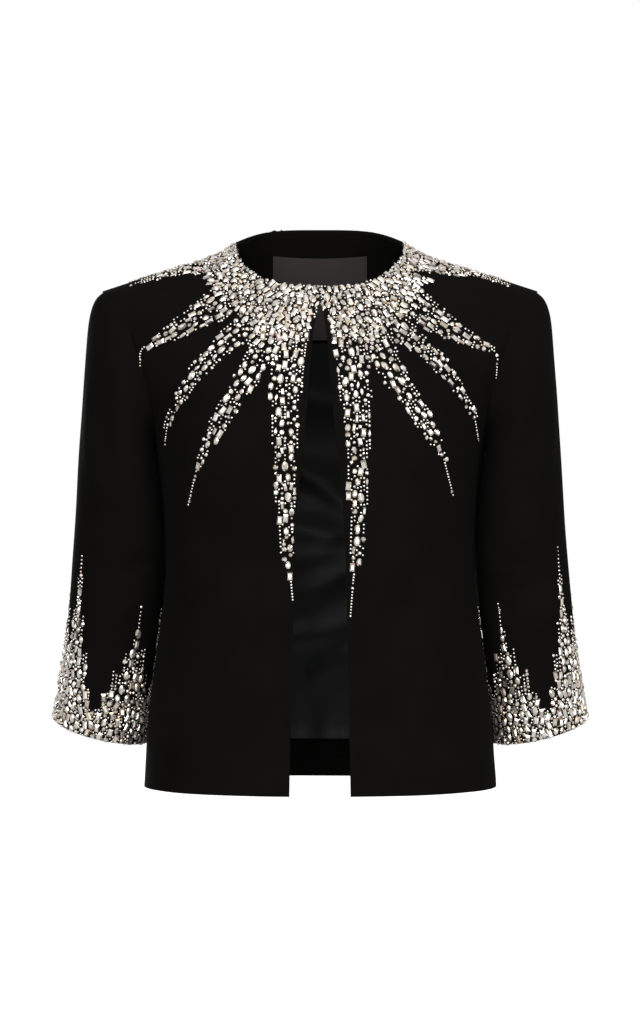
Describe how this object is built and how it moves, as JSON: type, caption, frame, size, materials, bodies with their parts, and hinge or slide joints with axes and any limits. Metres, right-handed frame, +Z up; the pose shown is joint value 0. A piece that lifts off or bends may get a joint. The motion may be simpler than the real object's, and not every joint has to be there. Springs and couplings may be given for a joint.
{
  "type": "bolero jacket",
  "caption": "Cropped collarless evening jacket with three-quarter sleeves, hooked at the neck and open below it, in its worn hollow form.",
  "frame": {"origin": "where the wearer's shoulders hold the jacket: on the centre line, level with the neck points of the two shoulder seams", "axes": "+Z up along the wearer's body, +X towards the wearer's left, -Y the front"},
  "size_m": [0.4974, 0.2417, 0.5146],
  "materials": {
    "crepe": "matt black crepe",
    "lining": "black satin lining",
    "label": "warm grey satin, blank",
    "closure": "black coated wire"
  },
  "bodies": {
    "root": {"back": "crepe", "front_left": "crepe", "front_right": "crepe", "sleeve_left": "crepe", "sleeve_right": "crepe", "back_neck_facing": "crepe", "back_hem_facing": "crepe", "back_lining": "lining", "neck_label": "label", "hook": "closure", "eye": "closure"}
  },
  "joints": []
}
